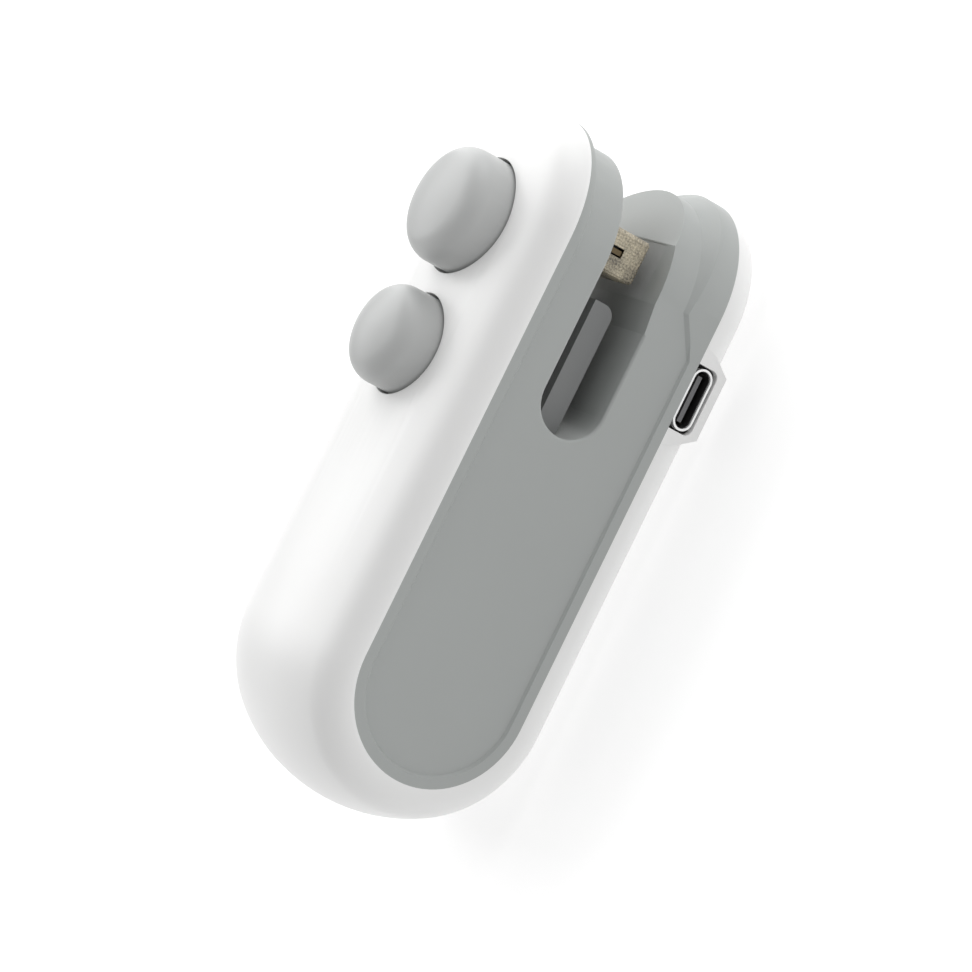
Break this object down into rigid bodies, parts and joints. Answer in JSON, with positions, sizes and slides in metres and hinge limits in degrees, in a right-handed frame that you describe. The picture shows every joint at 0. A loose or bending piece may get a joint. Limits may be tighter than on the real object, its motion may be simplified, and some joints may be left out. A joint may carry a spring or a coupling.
{
  "type": "handheld bag heat sealer",
  "caption": "Pocket bag sealer with an open mouth at one end, a seal button that closes the heater on a pad, and a cutter button.",
  "frame": {"origin": "centre of the box round the whole object, on the flat of the back that it rests on", "axes": "+X along the body to the jaw tips, +Z out of the button face, and the charging socket opens towards -Y"},
  "size_m": [0.096, 0.031, 0.046],
  "materials": {
    "shell_white": "satin moulded white",
    "cover_grey": "fine matt moulded grey",
    "guard_grey": "matt moulded mid grey",
    "chassis_plastic": "matt black moulded",
    "screw_steel": "zinc plated",
    "pad_silicone": "matt silicone",
    "cushion_silicone": "matt silicone foam",
    "board_fr4": "solder mask",
    "chip_black": "epoxy moulded",
    "led_lens": "clear epoxy",
    "socket_steel": "plated steel",
    "contact_gold": "gold plated",
    "gasket_rubber": "black rubber",
    "cell_metal": "plated can",
    "wrap_pvc": "shrink wrap",
    "tab_nickel": "nickel strip",
    "foam_black": "foam strip",
    "lead_red": "silicone wire",
    "plunger_red": "moulded",
    "heater_alloy": "resistance alloy",
    "heater_cloth": "coated glass cloth",
    "spring_steel": "spring wire",
    "blade_steel": "ground blade"
  },
  "bodies": {
    "housing": {"outer_shell": "shell_white", "near_cover": "cover_grey", "far_cover": "cover_grey", "cover_screws": "screw_steel", "front_chassis": "chassis_plastic", "chassis_screws": "screw_steel", "guard_bar": "guard_grey", "seal_pad": "pad_silicone", "main_board": "board_fr4", "board_chips": "chip_black", "power_inductor": "chip_black", "status_led": "led_lens", "board_screws": "screw_steel", "usb_shell": "socket_steel", "usb_tongue": "chip_black", "usb_contacts": "contact_gold", "usb_gasket": "gasket_rubber", "battery_cell": "cell_metal", "battery_wrap": "wrap_pvc", "battery_tabs": "tab_nickel", "battery_foam": "foam_black", "heater_leads": "lead_red", "heater_pigtails": "lead_red", "switch_body": "chip_black", "seal_springs": "spring_steel", "cutter_springs": "spring_steel"},
    "sealer": {"seal_button": "cover_grey", "heater_carriage": "chassis_plastic", "carriage_screw": "screw_steel", "heater_cushion": "cushion_silicone", "heating_strip": "heater_alloy", "heater_cloth": "heater_cloth"},
    "cutter": {"cutter_button": "cover_grey", "blade_holder": "chassis_plastic", "holder_screw": "screw_steel", "cutter_blade": "blade_steel"},
    "switch": {"switch_plunger": "plunger_red"}
  },
  "joints": [
    {"name": "seal_press", "type": "slide", "parent": "housing", "child": "sealer", "axis": [0, 0, -1], "range_m": [0, 0.00175], "stiffness_N_per_m": 1200, "springref_m": -0.002, "deforming": ["seal_springs", "heater_pigtails"]},
    {"name": "cutter_press", "type": "slide", "parent": "housing", "child": "cutter", "axis": [0, 0, -1], "range_m": [0, 0.004], "stiffness_N_per_m": 600, "springref_m": -0.002, "deforming": ["cutter_springs"]},
    {"name": "switch_press", "type": "slide", "parent": "housing", "child": "switch", "axis": [0, 0, -1], "range_m": [0, 0.00175]}
  ],
  "couplings": [
    {"joint": "switch_press", "follows": "seal_press", "ratio": 1}
  ]
}
